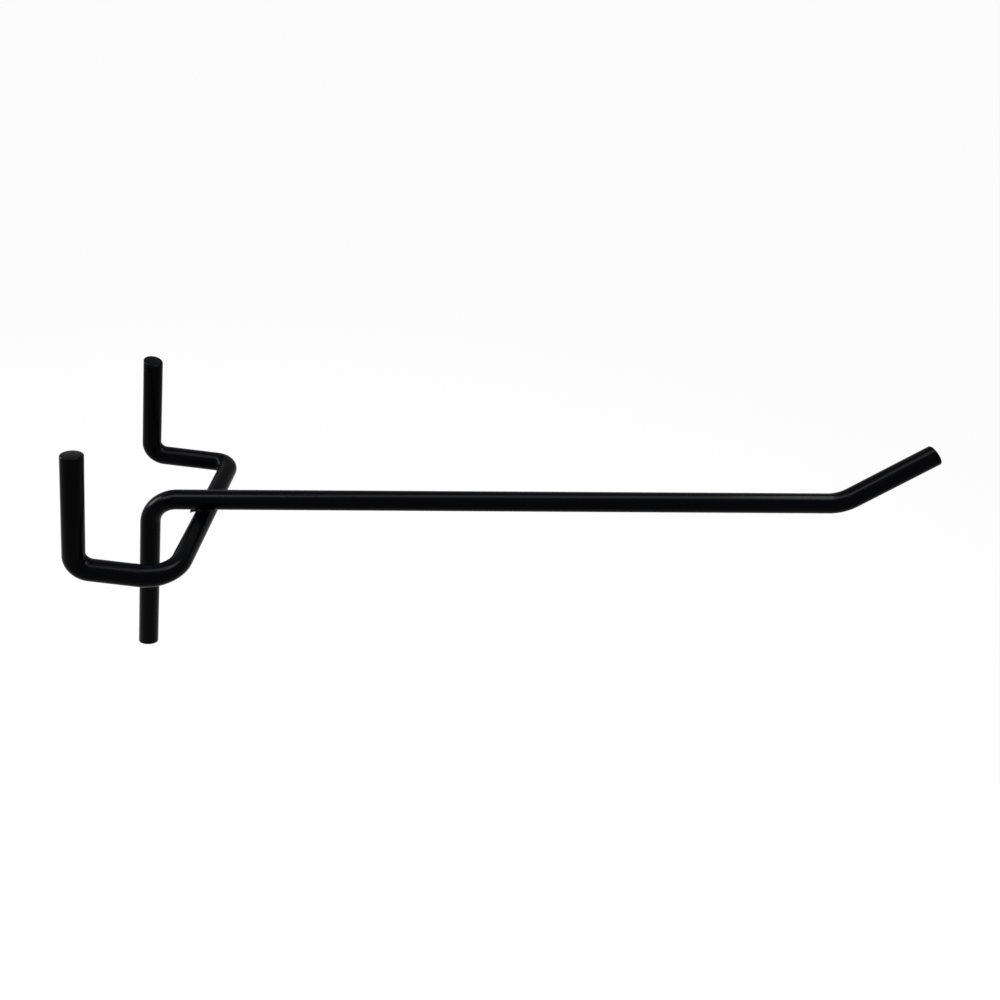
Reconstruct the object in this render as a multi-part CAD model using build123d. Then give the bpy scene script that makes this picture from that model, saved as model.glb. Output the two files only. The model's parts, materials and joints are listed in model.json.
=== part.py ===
from build123d import *
import os
from math import cos, radians, sin, tan

# A display hook for a perforated panel, bent from round steel wire and welded at one crossing.
# The origin is on the panel's front face, midway between the two prongs, at the height of the legs.
# +X runs out of the panel along the arm, +Y across the panel and +Z up. Millimetres and degrees.

# The wire stock, the same for both wires
wire_diameter = 5.0
cut_edge_radius = 0.35  # the rounding that the shears and the enamel leave on a cut end

# The mounting wire: a flat U whose two ends go through the panel and stand up behind it
prong_spacing = 50.8  # every second hole of a panel with 25.4 mm between its holes
panel_room = 3.6  # from the panel's front face back to the fronts of the prongs
left_prong_height = 29.8  # from the middle of the legs up to the middle of the prong's end
right_prong_height = 29.1
prong_inner_radius = 1.4
left_crossbar_inner_radius = 4.7
right_crossbar_inner_radius = 1.5  # bent tighter than the left one

# The arm wire: a heel down the panel's front, an arm that carries the goods and an upturned tip
crossbar_standoff = 13.8  # from the middle of the heel out to the middle of the crossbar
heel_drop = 42.5  # from the middle of the legs down to the middle of the heel's end
elbow_inner_radius = 5.1
arm_rise = 7.6  # above square to the panel
arm_length = 175.9  # along the arm, from the elbow's corner to the tip's corner
tip_turn = 33.6  # from the arm's line up to the tip's line
tip_length = 26.0  # from the tip's corner to the middle of its end
tip_inner_radius = 8.1

# How far the shears left each end out of square: the rise of its face per millimetre across it
left_prong_slant_left = 0.14  # higher on the left
right_prong_slant_back = 0.21  # higher at its back, away from the panel
right_prong_slant_right = 0.08  # and on the right
heel_slant_in = 0.24  # longer on the side towards the panel
heel_slant_right = 0.40  # and longer on the right
tip_slant_up = 0.13  # longer on its upper side
tip_slant_left = 0.13  # and longer on the left

# The resistance weld where the arm lies across the crossbar, and the fin of flash behind it
weld_set_down = 0.4  # how far the two wires are pressed into each other
weld_radius = 2.1
flash_reach = 3.2  # from the middle of the weld back to the fin's point
flash_depth = 1.2  # from the middle of the weld down to the fin's point
flash_width = 1.1
flash_side = 0.9  # how far the fin lies to the left of the arm's middle

wire_radius = wire_diameter / 2
prong_x = -panel_room - wire_radius
heel_x = wire_radius
crossbar_x = heel_x + crossbar_standoff
arm_angle = radians(arm_rise)
tip_angle = radians(arm_rise + tip_turn)
along_arm = Vector(cos(arm_angle), 0, sin(arm_angle))
along_tip = Vector(cos(tip_angle), 0, sin(tip_angle))
square_to_arm = Vector(-sin(arm_angle), 0, cos(arm_angle))
square_to_tip = Vector(-sin(tip_angle), 0, cos(tip_angle))

# The two wires' middles lie one wire apart at the weld, less its set-down
axis_gap = wire_diameter - weld_set_down
elbow_z = axis_gap / cos(arm_angle) - crossbar_standoff * tan(arm_angle)


def bent_wire(corners, inner_radii, first_facing, last_facing):
    """A round wire along straight runs and tangent bends, with both ends sheared off and eased.

    The wire is made longer by its own diameter at each end. What lies beyond the end's middle is
    then cut off square to the way that the end is to face.
    """
    ends = [Vector(*corners[0]), Vector(*corners[-1])]
    spare_first = (ends[0] - Vector(*corners[1])).normalized() * wire_diameter
    spare_last = (ends[1] - Vector(*corners[-2])).normalized() * wire_diameter
    long_corners = [ends[0] + spare_first, *corners[1:-1], ends[1] + spare_last]
    bend_radii = [inner_radius + wire_radius for inner_radius in inner_radii]
    route = FilletPolyline(*long_corners, radius=bend_radii)
    section = Plane(origin=route @ 0, z_dir=route % 0) * Circle(wire_radius)
    wire = sweep(section, path=route)
    for end, facing in zip(ends, [first_facing, last_facing]):
        waste = Cylinder(
            wire_diameter, 2 * wire_diameter, align=(Align.CENTER, Align.CENTER, Align.MIN)
        )
        wire -= Plane(origin=end, z_dir=facing) * waste
    cut_ends = wire.faces().filter_by(GeomType.PLANE)
    return fillet(cut_ends.edges(), cut_edge_radius)


def make_mounting_wire():
    """One wire bent into a flat U, with both of its ends turned up as prongs."""
    left_y = -prong_spacing / 2
    right_y = prong_spacing / 2
    corners = [
        (prong_x, left_y, left_prong_height),
        (prong_x, left_y, 0),
        (crossbar_x, left_y, 0),
        (crossbar_x, right_y, 0),
        (prong_x, right_y, 0),
        (prong_x, right_y, right_prong_height),
    ]
    inner_radii = [
        prong_inner_radius,
        left_crossbar_inner_radius,
        right_crossbar_inner_radius,
        prong_inner_radius,
    ]
    left_facing = Vector(0, left_prong_slant_left, 1)
    right_facing = Vector(right_prong_slant_back, -right_prong_slant_right, 1)
    return bent_wire(corners, inner_radii, left_facing, right_facing)


def make_arm_wire(mounting_wire):
    """One wire with a heel, an elbow, a long rising arm and an upturned tip.

    The weld presses the arm onto the crossbar, which leaves a shallow saddle in the arm's underside.
    """
    heel_end = Vector(heel_x, 0, -heel_drop)
    elbow = Vector(heel_x, 0, elbow_z)
    tip_corner = elbow + along_arm * arm_length
    tip_end = tip_corner + along_tip * tip_length
    heel_facing = Vector(heel_slant_in, -heel_slant_right, -1)
    tip_facing = along_tip - square_to_tip * tip_slant_up + Vector(0, tip_slant_left, 0)
    corners = [heel_end, elbow, tip_corner, tip_end]
    inner_radii = [elbow_inner_radius, tip_inner_radius]
    return bent_wire(corners, inner_radii, heel_facing, tip_facing) - mounting_wire


def make_weld(mounting_wire, arm_wire):
    """The metal squeezed out round the crossing, with a fin of flash hanging behind the crossbar."""
    crossing = Vector(crossbar_x, 0, 0) + square_to_arm * axis_gap / 2
    crossing_plane = Plane(origin=crossing, x_dir=along_arm, z_dir=square_to_arm)
    collar = crossing_plane * Cylinder(weld_radius, wire_radius)

    fin_plane = Plane(origin=crossing - Vector(0, flash_side, 0), x_dir=along_arm, z_dir=(0, -1, 0))
    root_front = -weld_radius / 2
    root_top = wire_radius / 4
    fin_outline = Polyline(
        (root_front, root_top),
        (-flash_reach, root_top),
        (-flash_reach, -flash_depth),
        close=True,
    )
    fin = extrude(fin_plane * make_face(fin_outline), flash_width / 2, both=True)
    return collar + fin - mounting_wire - arm_wire


def write_parts():
    """Write each piece to its own STEP file."""
    os.makedirs("parts", exist_ok=True)
    mounting_wire = make_mounting_wire()
    arm_wire = make_arm_wire(mounting_wire)
    weld = make_weld(mounting_wire, arm_wire)
    export_step(mounting_wire, "parts/mounting_wire.step")
    export_step(arm_wire, "parts/arm_wire.step")
    export_step(weld, "parts/weld.step")


write_parts()
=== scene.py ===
import json
from math import asin, pi, radians, tan

import bpy
from mathutils import Matrix, Vector

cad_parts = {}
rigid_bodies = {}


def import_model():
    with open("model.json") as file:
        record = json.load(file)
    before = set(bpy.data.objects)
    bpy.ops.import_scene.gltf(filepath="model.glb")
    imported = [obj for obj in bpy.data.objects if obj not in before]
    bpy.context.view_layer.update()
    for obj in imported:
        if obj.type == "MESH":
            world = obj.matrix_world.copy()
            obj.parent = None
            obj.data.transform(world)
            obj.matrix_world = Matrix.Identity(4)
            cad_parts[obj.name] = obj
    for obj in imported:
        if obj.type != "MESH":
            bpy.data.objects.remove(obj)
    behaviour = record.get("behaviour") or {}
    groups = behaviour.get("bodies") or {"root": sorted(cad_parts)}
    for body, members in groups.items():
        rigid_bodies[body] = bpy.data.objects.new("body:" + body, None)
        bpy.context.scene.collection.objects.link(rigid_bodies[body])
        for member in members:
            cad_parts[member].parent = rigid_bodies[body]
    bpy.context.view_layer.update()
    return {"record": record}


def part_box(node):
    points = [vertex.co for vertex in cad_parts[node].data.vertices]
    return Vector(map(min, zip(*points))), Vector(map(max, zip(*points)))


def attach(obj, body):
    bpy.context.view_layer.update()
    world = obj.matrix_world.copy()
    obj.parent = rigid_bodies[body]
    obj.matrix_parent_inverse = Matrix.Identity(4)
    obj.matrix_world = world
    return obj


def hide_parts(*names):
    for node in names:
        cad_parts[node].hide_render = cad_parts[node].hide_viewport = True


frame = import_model()


# The mounting wire
# One length of drawn steel wire, cold bent round formers into a flat U. Its two ends are sheared
# off a little out of square and turned up as prongs, which stand up behind the panel.
# The finished hook is dipped in black enamel, which rounds the cut ends.
mm = 0.001
mounts = {mount["name"]: mount for mount in frame["record"]["mounts"]}
wire_radius = mounts["left_prong"]["dims"]["r_mm"] * mm
mounting_low, mounting_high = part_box("mounting_wire")
prong_x = mounting_low.x + wire_radius
crossbar_x = mounting_high.x - wire_radius
left_y = mounting_low.y + wire_radius
right_y = mounting_high.y - wire_radius
left_prong_height = 29.8 * mm
right_prong_height = 29.1 * mm
prong_bend_radius = wire_radius + 1.4 * mm
left_bend_radius = wire_radius + 4.7 * mm
right_bend_radius = wire_radius + 1.5 * mm

# How far the shears left each end out of square: the rise of its face over its width
left_prong_slant_left = 0.14
right_prong_slant_back = 0.21
right_prong_slant_right = 0.08

wire_sides = 64
bend_steps = 18
shear_spare = wire_radius
cut_edge_radius = 0.38 * mm
cut_edge_steps = 6
end_dome = 0.1 * mm
end_ring = 0.7 * mm
ring_rises = (0.7, 0.3)  # the share of the dome that each ring inwards adds
smooth_below = radians(50)


def start_ring(name, place, heading):
    """Adds a ring of the wire's size in edit mode, square to the way the wire sets off."""
    bpy.ops.object.select_all(action="DESELECT")
    turn = heading.to_track_quat("Z", "Y").to_euler()
    bpy.ops.mesh.primitive_circle_add(
        vertices=wire_sides, radius=wire_radius, location=place, rotation=turn
    )
    wire = bpy.context.object
    wire.name = name
    bpy.ops.object.transform_apply(location=True, rotation=True, scale=True)
    bpy.ops.object.mode_set(mode="EDIT")
    bpy.ops.mesh.select_mode(type="VERT")
    bpy.ops.mesh.select_all(action="SELECT")
    return wire


def shear_off(wire, end, facing):
    """Cuts the spare length off one end, square to the way that the end faces."""
    bpy.ops.mesh.select_all(action="DESELECT")
    bpy.ops.object.mode_set(mode="OBJECT")
    for vertex in wire.data.vertices:
        vertex.select = (vertex.co - end).length < shear_spare * 2
    bpy.ops.object.mode_set(mode="EDIT")
    bpy.ops.mesh.select_more()
    bpy.ops.mesh.bisect(plane_co=end, plane_no=facing, clear_outer=True)


def close_ends():
    """Fills both ends and gives each the rounded rim and low dome of dipped enamel."""
    bpy.ops.mesh.select_all(action="SELECT")
    bpy.ops.mesh.fill_holes(sides=0)
    bpy.ops.mesh.select_all(action="SELECT")
    bpy.ops.mesh.normals_make_consistent(inside=False)
    bpy.ops.mesh.select_mode(type="FACE")
    bpy.ops.mesh.select_all(action="DESELECT")
    bpy.ops.mesh.select_face_by_sides(number=wire_sides, type="EQUAL")
    bpy.ops.mesh.region_to_loop()
    bpy.ops.mesh.bevel(offset=cut_edge_radius, segments=cut_edge_steps, affect="EDGES")
    bpy.ops.mesh.select_mode(type="FACE")
    bpy.ops.mesh.select_all(action="DESELECT")
    bpy.ops.mesh.select_face_by_sides(number=wire_sides, type="EQUAL")
    for rise in ring_rises:
        bpy.ops.mesh.inset(thickness=end_ring, depth=end_dome * rise, use_individual=True)
    bpy.ops.object.mode_set(mode="OBJECT")
    bpy.ops.object.shade_smooth_by_angle(angle=smooth_below)


def form_wire(name, corners, bend_radii, facings):
    """Draws a ring along the straight runs, spins it round each former and shears off the ends."""
    here = corners[0] + (corners[0] - corners[1]).normalized() * shear_spare
    wire = start_ring(name, here, corners[1] - corners[0])
    for before, corner, after, radius in zip(corners, corners[1:], corners[2:], bend_radii):
        arriving = (corner - before).normalized()
        leaving = (after - corner).normalized()
        turn = arriving.angle(leaving)
        reach = radius * tan(turn / 2)
        bend_start = corner - arriving * reach
        axis = arriving.cross(leaving).normalized()
        centre = bend_start + axis.cross(arriving) * radius
        bpy.ops.mesh.extrude_region_move(TRANSFORM_OT_translate={"value": bend_start - here})
        bpy.ops.mesh.spin(steps=bend_steps, angle=-turn, center=centre, axis=axis)
        here = corner + leaving * reach
    beyond = corners[-1] + leaving * shear_spare
    bpy.ops.mesh.extrude_region_move(TRANSFORM_OT_translate={"value": beyond - here})
    shear_off(wire, corners[0], facings[0])
    shear_off(wire, corners[-1], facings[1])
    close_ends()
    return wire


class Shade:
    """One socket in a node tree. Sums and products of shades add their own Math nodes."""

    def __init__(self, tree, socket=None):
        self.tree = tree
        self.socket = socket

    def node(self, kind, settings, sockets, output=0):
        """Adds any node: its settings first, then the values or links of its sockets."""
        made = self.tree.nodes.new(kind)
        for name, value in settings.items():
            setattr(made, name, value)
        for name, value in sockets.items():
            if isinstance(value, Shade):
                self.tree.links.new(value.socket, made.inputs[name])
            else:
                made.inputs[name].default_value = value
        return Shade(self.tree, None if output is None else made.outputs[output])

    def math(self, operation, first, second):
        return self.node("ShaderNodeMath", {"operation": operation}, {0: first, 1: second})

    def __add__(self, other):
        return self.math("ADD", self, other)

    def __mul__(self, other):
        return self.math("MULTIPLY", self, other)

    __radd__ = __add__


def blank_canvas(owner):
    """The emptied node tree of a material or a world."""
    owner.use_nodes = True
    owner.node_tree.nodes.clear()
    return Shade(owner.node_tree)


# The enamel's marks, each as a count per metre, and its sheen
drifts_per_metre = 70.0
peel_per_metre = 1100.0
nibs_per_metre = 260.0
nib_reach = 0.1  # how far a nib spreads in its cell
peel_height = 0.5  # next to a nib's height of 1
mark_height = 0.02 * mm
mark_strength = 0.35
smoothest = 0.17
drift_in_gloss = 0.08
sheen = 0.025
darkest_black = (0.0001, 0.00015, 0.0004, 1)
lightest_black = (0.0002, 0.00025, 0.0006, 1)


def black_enamel():
    """Dipped black enamel: a soft sheen, a faint orange peel, slow drifts in gloss and a few nibs."""
    material = bpy.data.materials.new("black_enamel")
    canvas = blank_canvas(material)
    place = canvas.node("ShaderNodeTexCoord", {}, {}, "Object")
    drift_sockets = {"Vector": place, "Scale": drifts_per_metre, "Detail": 2.0}
    drift = canvas.node("ShaderNodeTexNoise", {}, drift_sockets, "Fac")
    peel_sockets = {"Vector": place, "Scale": peel_per_metre, "Detail": 1.0}
    peel = canvas.node("ShaderNodeTexNoise", {}, peel_sockets, "Fac")
    nib_sockets = {"Vector": place, "Scale": nibs_per_metre}
    nib_distance = canvas.node("ShaderNodeTexVoronoi", {}, nib_sockets, "Distance")
    nibs = canvas.node(
        "ShaderNodeMapRange",
        {"interpolation_type": "SMOOTHSTEP"},
        {"Value": nib_distance, "From Min": nib_reach, "From Max": 0.0},
    )
    first_colour, second_colour, mixed_colour = 6, 7, 2
    colour = canvas.node(
        "ShaderNodeMix",
        {"data_type": "RGBA"},
        {"Factor": drift, first_colour: darkest_black, second_colour: lightest_black},
        mixed_colour,
    )
    height = peel * peel_height + nibs
    bump = canvas.node(
        "ShaderNodeBump", {}, {"Strength": mark_strength, "Distance": mark_height, "Height": height}
    )
    surface = canvas.node(
        "ShaderNodeBsdfPrincipled",
        {},
        {
            "Base Color": colour,
            "Roughness": smoothest + drift * drift_in_gloss,
            "Specular IOR Level": sheen,
            "Normal": bump,
        },
    )
    canvas.node("ShaderNodeOutputMaterial", {}, {"Surface": surface}, None)
    return material


enamel = black_enamel()
mounting_wire = form_wire(
    "mounting_wire_bent",
    [
        Vector((prong_x, left_y, left_prong_height)),
        Vector((prong_x, left_y, 0)),
        Vector((crossbar_x, left_y, 0)),
        Vector((crossbar_x, right_y, 0)),
        Vector((prong_x, right_y, 0)),
        Vector((prong_x, right_y, right_prong_height)),
    ],
    [prong_bend_radius, left_bend_radius, right_bend_radius, prong_bend_radius],
    [
        Vector((0, left_prong_slant_left, 1)),
        Vector((right_prong_slant_back, -right_prong_slant_right, 1)),
    ],
)
mounting_wire.data.materials.append(enamel)
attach(mounting_wire, "root")
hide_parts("mounting_wire")


# The arm wire
# The second length of the same wire. Its heel leans on the panel's front, its long arm lies over
# the crossbar and rises a little so that goods stay on, and its tip is turned up more steeply.
heel_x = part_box("arm_wire")[0].x + wire_radius
heel_drop = 42.5 * mm
tip_length = 25.7 * mm
elbow_bend_radius = wire_radius + 5.1 * mm
tip_bend_radius = wire_radius + 8.1 * mm
heel_slant_right = 0.4
tip_slant = 0.13  # longer by this on its upper side, and again on its left
arm_line = Vector(mounts["goods_arm"]["axis"]).normalized()
tip_line = Vector(mounts["hang_tip"]["axis"]).normalized()
on_arm = Vector(mounts["goods_arm"]["pos_m"])
on_tip = Vector(mounts["hang_tip"]["pos_m"])
elbow = on_arm + arm_line * ((heel_x - on_arm.x) / arm_line.x)
tip_run = ((on_tip - on_arm).cross(tip_line)).length / (arm_line.cross(tip_line)).length
tip_corner = on_arm + arm_line * tip_run
tip_end = tip_corner + tip_line * tip_length
heel_end = Vector((heel_x, 0, -heel_drop))
below_tip = Vector((tip_line.z, 0, -tip_line.x))
arm_wire = form_wire(
    "arm_wire_bent",
    [heel_end, elbow, tip_corner, tip_end],
    [elbow_bend_radius, tip_bend_radius],
    [
        Vector((0, -heel_slant_right, -1)),
        tip_line + below_tip * tip_slant + Vector((0, tip_slant, 0)),
    ],
)
arm_wire.data.materials.append(enamel)
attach(arm_wire, "root")
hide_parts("arm_wire")


# The weld
# The wires are resistance welded where they cross. The squeezed-out metal stands in the crevice
# between them as a lumpy bead, with a ragged fin of flash behind the crossbar, under the enamel.
bead_radius = 2.4 * mm
bead_thickness = 1.1 * mm
flash_left = 0.95 * mm
weld_grain = 0.09 * mm
raggedness_seed = 5
lump_sides = 40
lump_rings = 24
flow_passes = 3
on_crossbar = Vector((crossbar_x, 0, 0))
above_crossbar = (on_arm - on_crossbar).cross(arm_line).length / 2
crossing = on_crossbar + Vector((-arm_line.z, 0, arm_line.x)) * above_crossbar


def weld_lump(name, back, left, down, reach, width, thickness, rise):
    """One lump of weld metal, placed from the middle of the crossing and rising towards +X."""
    bpy.ops.mesh.primitive_uv_sphere_add(
        segments=lump_sides,
        ring_count=lump_rings,
        radius=1,
        location=crossing - Vector((back, left, down)),
        rotation=(0, -rise, 0),
    )
    lump = bpy.context.object
    lump.name = name
    lump.scale = (reach, width, thickness)
    return lump


lumps = [
    weld_lump(
        "weld_bead", back=0, left=0, down=0,
        reach=bead_radius, width=bead_radius, thickness=bead_thickness, rise=asin(arm_line.z),
    ),
    weld_lump(
        "flash_root", back=1.7 * mm, left=flash_left, down=0.1 * mm,
        reach=1.4 * mm, width=0.6 * mm, thickness=0.6 * mm, rise=radians(12),
    ),
    weld_lump(
        "flash_web", back=2.3 * mm, left=flash_left, down=0.4 * mm,
        reach=0.9 * mm, width=0.35 * mm, thickness=0.6 * mm, rise=radians(35),
    ),
    weld_lump(
        "flash_point", back=2.75 * mm, left=flash_left, down=0.75 * mm,
        reach=0.75 * mm, width=0.22 * mm, thickness=0.28 * mm, rise=radians(62),
    ),
]
bpy.ops.object.select_all(action="DESELECT")
for lump in lumps:
    lump.select_set(True)
weld = lumps[0]
bpy.context.view_layer.objects.active = weld
bpy.ops.object.join()
bpy.ops.object.transform_apply(location=True, rotation=True, scale=True)
bpy.ops.object.mode_set(mode="EDIT")
bpy.ops.mesh.select_all(action="SELECT")
bpy.ops.transform.vertex_random(offset=weld_grain, seed=raggedness_seed)
bpy.ops.object.mode_set(mode="OBJECT")
fuse = weld.modifiers.new("fuse", "REMESH")
fuse.mode = "VOXEL"
fuse.voxel_size = weld_grain
bpy.ops.object.modifier_apply(modifier="fuse")
flow = weld.modifiers.new("flow", "SMOOTH")
flow.iterations = flow_passes
bpy.ops.object.modifier_apply(modifier="flow")
bpy.ops.object.shade_smooth()
weld.data.materials.append(enamel)
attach(weld, "root")
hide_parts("weld")


# The floor and backdrop
# A plain white paper sweep, well below the held hook, that rises behind it in one curve.
floor_z = -0.30
sweep_width = 3.0
sweep_bend = 0.6
sweep_steps = 24
sweep_rise = 1.5
paper_grey = (0.85, 0.85, 0.85, 1)
white = (1, 1, 1, 1)
seen_as_white = 0.95  # the rest shows the hook's shadow
bpy.ops.object.select_all(action="DESELECT")
bpy.ops.mesh.primitive_plane_add(size=sweep_width, location=(0, 0, floor_z))
sweep = bpy.context.object
sweep.name = "paper_sweep"
bpy.ops.object.transform_apply(location=True, rotation=True, scale=True)
bpy.ops.object.mode_set(mode="EDIT")
bpy.ops.mesh.select_mode(type="EDGE")
bpy.ops.mesh.select_all(action="DESELECT")
bpy.ops.object.mode_set(mode="OBJECT")
for edge in sweep.data.edges:
    ends = [sweep.data.vertices[index].co.y for index in edge.vertices]
    edge.select = min(ends) > 0
bpy.ops.object.mode_set(mode="EDIT")
bend_centre = (0, sweep_width / 2, floor_z + sweep_bend)
bpy.ops.mesh.spin(steps=sweep_steps, angle=-pi / 2, center=bend_centre, axis=(1, 0, 0))
bpy.ops.mesh.extrude_region_move(TRANSFORM_OT_translate={"value": (0, 0, sweep_rise)})
bpy.ops.mesh.select_all(action="SELECT")
bpy.ops.mesh.normals_make_consistent(inside=False)
bpy.ops.object.mode_set(mode="OBJECT")
bpy.ops.object.shade_smooth()


def seen_rays(canvas):
    """1 for what the camera, reflections and see-through surfaces see, and 0 for lighting."""
    camera = canvas.node("ShaderNodeLightPath", {}, {}, "Is Camera Ray")
    glossy = canvas.node("ShaderNodeLightPath", {}, {}, "Is Glossy Ray")
    through = canvas.node("ShaderNodeLightPath", {}, {}, "Is Transmission Ray")
    return camera + glossy + through


def white_paper():
    """Matt white paper. What the camera and reflections see of it is mostly plain white."""
    material = bpy.data.materials.new("white_paper")
    canvas = blank_canvas(material)
    plain_share = seen_rays(canvas) * seen_as_white
    matt = canvas.node("ShaderNodeBsdfDiffuse", {}, {"Color": paper_grey})
    plain = canvas.node("ShaderNodeEmission", {}, {"Color": white, "Strength": 1.0})
    surface = canvas.node("ShaderNodeMixShader", {}, {0: plain_share, 1: matt, 2: plain})
    canvas.node("ShaderNodeOutputMaterial", {}, {"Surface": surface}, None)
    return material


sweep.data.materials.append(white_paper())


# The light
# Three soft panels overhead, the brightest above the arm's far end, and an upright one behind the
# elbow. They draw the thin line of light along the arm and the brighter arc round the elbow.
origin = Vector((0, 0, 0))
below = Vector((0, 0, -1))
above_arm = Vector((0.06, 0.015, 0.52))
above_far_end = Vector((0.3, 0.085, 0.52))
above_left_end = Vector((-0.33, -0.16, 0.45))
behind_elbow = Vector((-0.47, 0.0, 0.14))
grey_fill = 0.25


def soft_panel(name, place, aim, width, depth, radiance, turn=0.0):
    """A rectangular lamp at a place, facing a point and turned about the upright."""
    bpy.ops.object.light_add(type="AREA", location=place)
    lamp = bpy.context.object
    lamp.name = name
    lamp.data.shape = "RECTANGLE"
    lamp.data.size = width
    lamp.data.size_y = depth
    lamp.data.energy = radiance * pi * width * depth
    facing = (aim - place).to_track_quat("-Z", "Y").to_matrix()
    lamp.rotation_euler = (Matrix.Rotation(turn, 3, "Z") @ facing).to_euler()


soft_panel(
    "overhead_panel", above_arm, above_arm + below,
    width=0.36, depth=0.24, radiance=9.6, turn=radians(11),
)
soft_panel("left_end_panel", above_left_end, origin, width=0.17, depth=0.46, radiance=18.5)
soft_panel(
    "far_end_panel", above_far_end, above_far_end + below, width=0.12, depth=0.34, radiance=24.0
)
soft_panel("elbow_panel", behind_elbow, origin, width=0.16, depth=0.28, radiance=33.0)


def studio_world():
    """A white surround for what the camera and reflections see, and an even grey fill for the rest."""
    world = bpy.data.worlds.new("studio")
    canvas = blank_canvas(world)
    strength = grey_fill + seen_rays(canvas) * (1 - grey_fill)
    surface = canvas.node("ShaderNodeBackground", {}, {"Color": white, "Strength": strength})
    canvas.node("ShaderNodeOutputWorld", {}, {"Surface": surface}, None)
    return world


bpy.context.scene.world = studio_world()


# The camera
# The photograph's close view: from the left of the hook, 35 degrees above it, with the lens set
# level enough to keep the prongs upright, which is what the shift stands for.
picture_size = 1000
focal_pixels = 861.2
centre_pixel = (467.0, 288.8)
sensor_width = 36.0
camera_azimuth = radians(-2.39)
camera_elevation = radians(19.37)
camera_roll = radians(8.24)
camera_place = Vector((66.90, -188.93, 136.90)) * mm
nearest_seen = 10 * mm
bpy.ops.object.camera_add()
camera = bpy.context.object
camera.name = "photo_camera"
camera.matrix_world = (
    Matrix.Translation(camera_place)
    @ Matrix.Rotation(camera_azimuth, 4, "Z")
    @ Matrix.Rotation(pi / 2 - camera_elevation, 4, "X")
    @ Matrix.Rotation(camera_roll, 4, "Z")
)
camera.data.sensor_width = sensor_width
camera.data.lens = focal_pixels / picture_size * sensor_width
camera.data.shift_x = (picture_size / 2 - centre_pixel[0]) / picture_size
camera.data.shift_y = (centre_pixel[1] - picture_size / 2) / picture_size
camera.data.clip_start = nearest_seen
bpy.context.scene.camera = camera
bpy.context.scene.view_settings.view_transform = "Standard"
